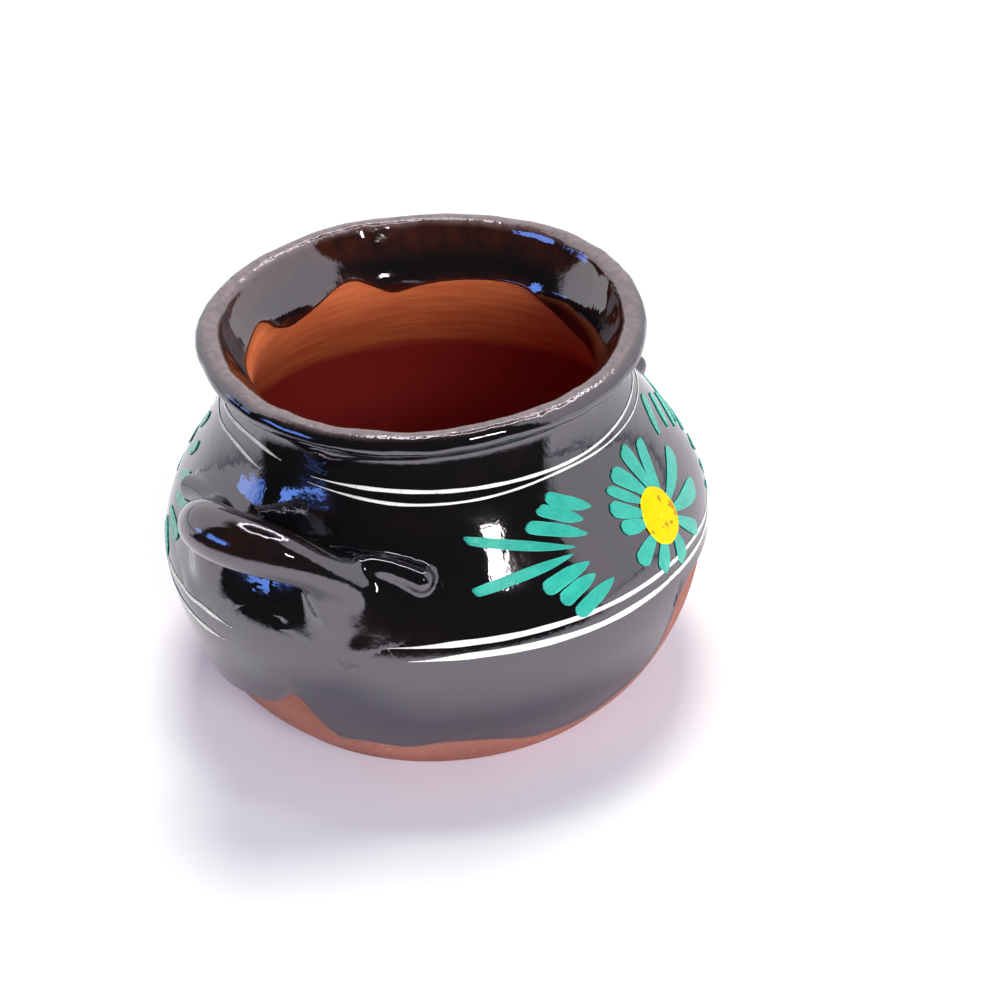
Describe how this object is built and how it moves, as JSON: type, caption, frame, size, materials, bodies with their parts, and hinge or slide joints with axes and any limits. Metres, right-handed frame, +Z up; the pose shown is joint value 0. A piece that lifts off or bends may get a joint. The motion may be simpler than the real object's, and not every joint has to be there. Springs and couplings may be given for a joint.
{
  "type": "clay pot",
  "caption": "Small round-bellied clay pot with a flared rolled rim, bow handles on the shoulder, a glossy black glaze over a bare red foot, and painted flowers between white lines.",
  "frame": {"origin": "middle of the pot's flat underside, on the surface that it stands on", "axes": "+Z up along the pot's axis, +X through the right handle, -Y out of the front painted face"},
  "size_m": [0.1276, 0.1106, 0.079],
  "materials": {
    "red_clay": "bare fired red clay, matt and gritty",
    "black_glaze": "glossy black glaze",
    "white_slip": "glossy white brush line",
    "teal_slip": "glossy teal brush stroke",
    "yellow_slip": "glossy yellow brush dab"
  },
  "bodies": {
    "root": {"belly_line_back_lower": "white_slip", "belly_line_back_upper": "white_slip", "belly_line_front_lower": "white_slip", "belly_line_front_upper": "white_slip", "fan_back_left_1": "teal_slip", "fan_back_left_2": "teal_slip", "fan_back_left_3": "teal_slip", "fan_back_left_4": "teal_slip", "fan_back_left_5": "teal_slip", "fan_back_left_6": "teal_slip", "fan_back_left_7": "teal_slip", "fan_back_left_8": "teal_slip", "fan_back_right_1": "teal_slip", "fan_back_right_2": "teal_slip", "fan_back_right_3": "teal_slip", "fan_back_right_4": "teal_slip", "fan_back_right_5": "teal_slip", "fan_back_right_6": "teal_slip", "fan_back_right_7": "teal_slip", "fan_back_right_8": "teal_slip", "fan_front_left_1": "teal_slip", "fan_front_left_2": "teal_slip", "fan_front_left_3": "teal_slip", "fan_front_left_4": "teal_slip", "fan_front_left_5": "teal_slip", "fan_front_left_6": "teal_slip", "fan_front_left_7": "teal_slip", "fan_front_left_8": "teal_slip", "fan_front_right_1": "teal_slip", "fan_front_right_2": "teal_slip", "fan_front_right_3": "teal_slip", "fan_front_right_4": "teal_slip", "fan_front_right_5": "teal_slip", "fan_front_right_6": "teal_slip", "fan_front_right_7": "teal_slip", "fan_front_right_8": "teal_slip", "flower_centre_back": "yellow_slip", "flower_centre_front": "yellow_slip", "glaze_coat": "black_glaze", "handle_left": "black_glaze", "handle_right": "black_glaze", "lower_bowl": "red_clay", "neck_collar": "red_clay", "neck_line_back_lower": "white_slip", "neck_line_back_upper": "white_slip", "neck_line_front_lower": "white_slip", "neck_line_front_upper": "white_slip", "petals_back": "teal_slip", "petals_front": "teal_slip", "rim_coil": "red_clay", "shoulder_ring": "red_clay"}
  },
  "joints": []
}
